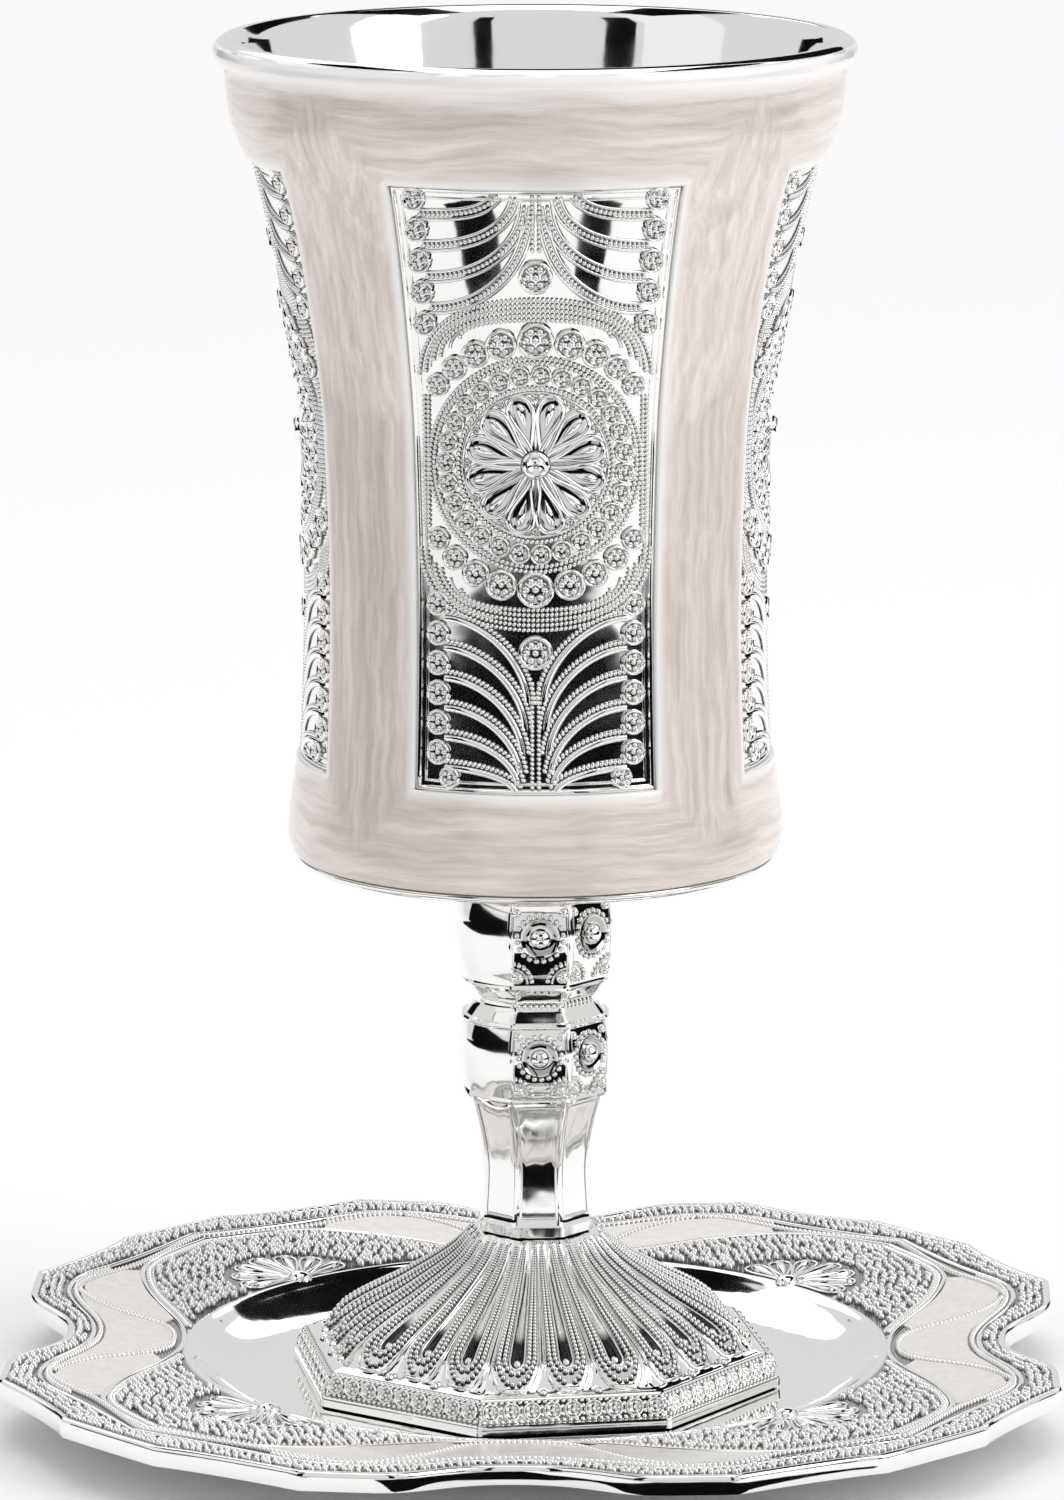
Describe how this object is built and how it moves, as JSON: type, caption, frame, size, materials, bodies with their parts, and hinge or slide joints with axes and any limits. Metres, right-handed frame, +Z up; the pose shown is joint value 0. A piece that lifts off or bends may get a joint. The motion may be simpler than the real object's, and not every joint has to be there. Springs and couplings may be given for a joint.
{
  "type": "kiddush cup",
  "caption": "Tall silver-plated kiddush cup with pearl enamel, relief panels, octagonal stem and fluted foot, standing on its scalloped tray.",
  "frame": {"origin": "centre of the tray's underside", "axes": "+Z up through the cup; -Y the way the front relief panel looks; +X to its right as seen from the front"},
  "size_m": [0.1378, 0.1378, 0.1776],
  "materials": {
    "silver": "polished",
    "pearl_enamel": "glossy pearl",
    "tray_enamel": "glossy pearl"
  },
  "bodies": {
    "root": {"bowl": "silver", "bowl_enamel": "pearl_enamel", "stem": "silver", "foot": "silver", "tray": "silver", "tray_enamel_1_centre": "tray_enamel", "tray_enamel_1_left": "tray_enamel", "tray_enamel_1_right": "tray_enamel", "tray_enamel_2_centre": "tray_enamel", "tray_enamel_2_left": "tray_enamel", "tray_enamel_2_right": "tray_enamel", "tray_enamel_3_centre": "tray_enamel", "tray_enamel_3_left": "tray_enamel", "tray_enamel_3_right": "tray_enamel", "tray_enamel_4_centre": "tray_enamel", "tray_enamel_4_left": "tray_enamel", "tray_enamel_4_right": "tray_enamel"}
  },
  "joints": []
}
